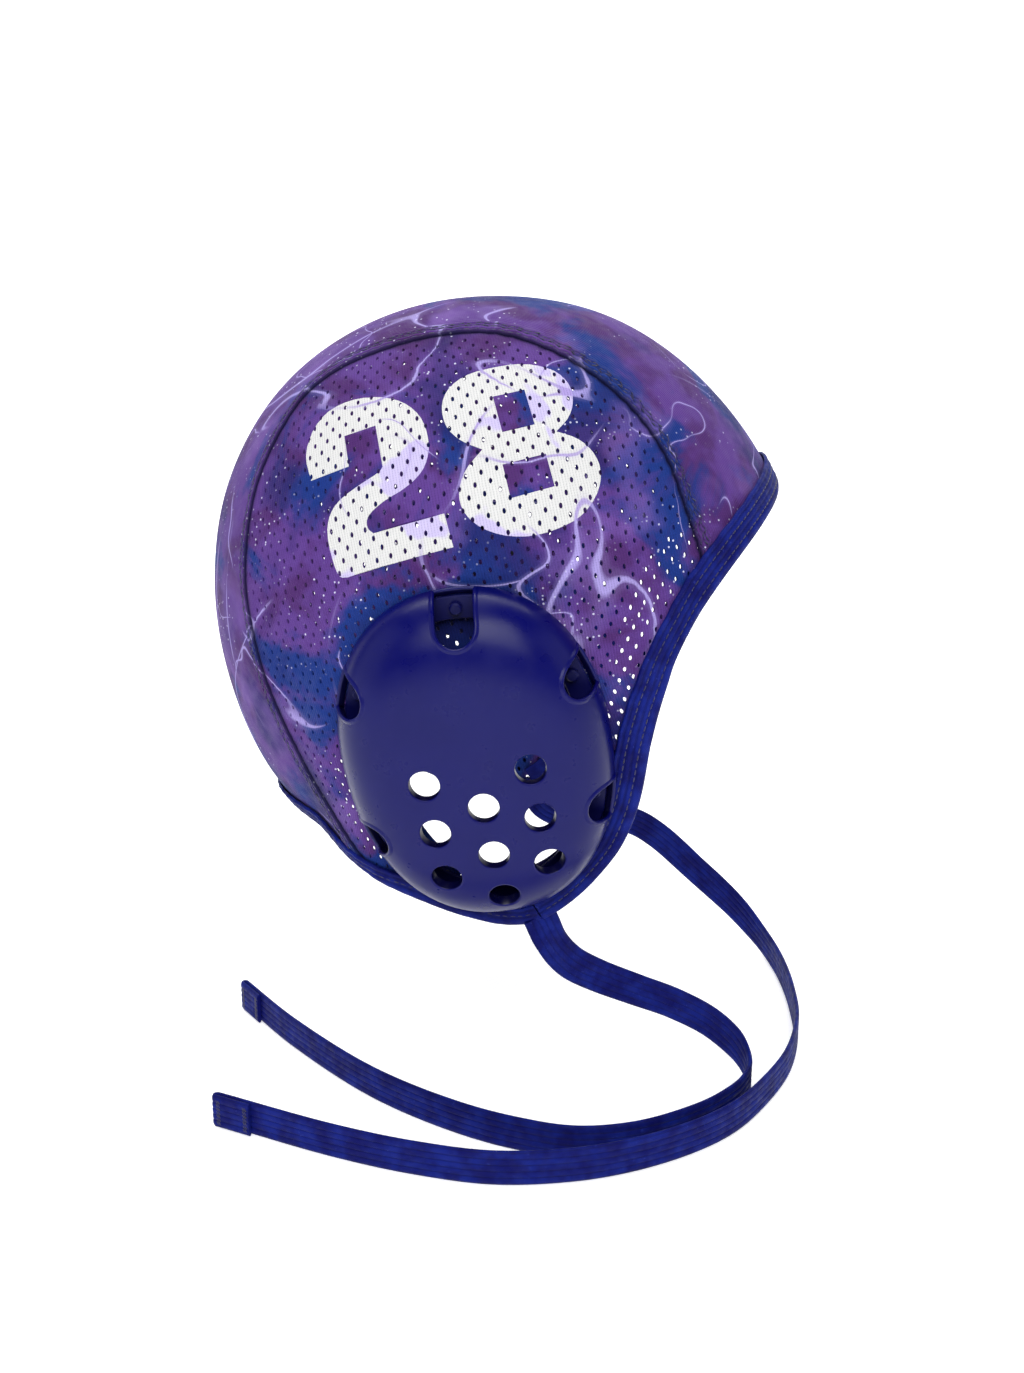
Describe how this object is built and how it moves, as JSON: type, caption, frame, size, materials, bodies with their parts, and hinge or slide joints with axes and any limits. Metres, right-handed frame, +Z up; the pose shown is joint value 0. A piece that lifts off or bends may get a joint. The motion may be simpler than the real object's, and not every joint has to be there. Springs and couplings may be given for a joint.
{
  "type": "water polo cap",
  "caption": "Water polo cap with a smooth centre panel, perforated side panels, ribbed edge bindings, vented plastic ear guards and flat elastic chin ties",
  "frame": {"origin": "the inside top of the crown, on the middle plane, where the cap sits on a head", "axes": "+X the way the wearer faces, +Y the wearer's left, +Z up"},
  "size_m": [0.2003, 0.2115, 0.2476],
  "materials": {
    "smooth_print_fabric": "smooth stretch knit printed in purple and blue patches with pale crackle lines",
    "mesh_print_fabric": "perforated stretch mesh printed in purple and blue patches with pale lines and an off-white number",
    "binding_elastic": "ribbed elastic, navy blue",
    "guard_plastic": "satin moulded plastic, royal blue",
    "ring_plastic": "matt moulded plastic, dark navy",
    "tie_elastic": "flat ribbed elastic, navy blue"
  },
  "bodies": {
    "root": {"centre_panel": "smooth_print_fabric", "side_panel_right": "mesh_print_fabric", "side_panel_left": "mesh_print_fabric", "face_binding": "binding_elastic", "nape_binding": "binding_elastic", "ear_guard_right": "guard_plastic", "ear_guard_left": "guard_plastic", "guard_ring_right": "ring_plastic", "guard_ring_left": "ring_plastic", "tie_right": "tie_elastic", "tie_left": "tie_elastic"}
  },
  "joints": []
}
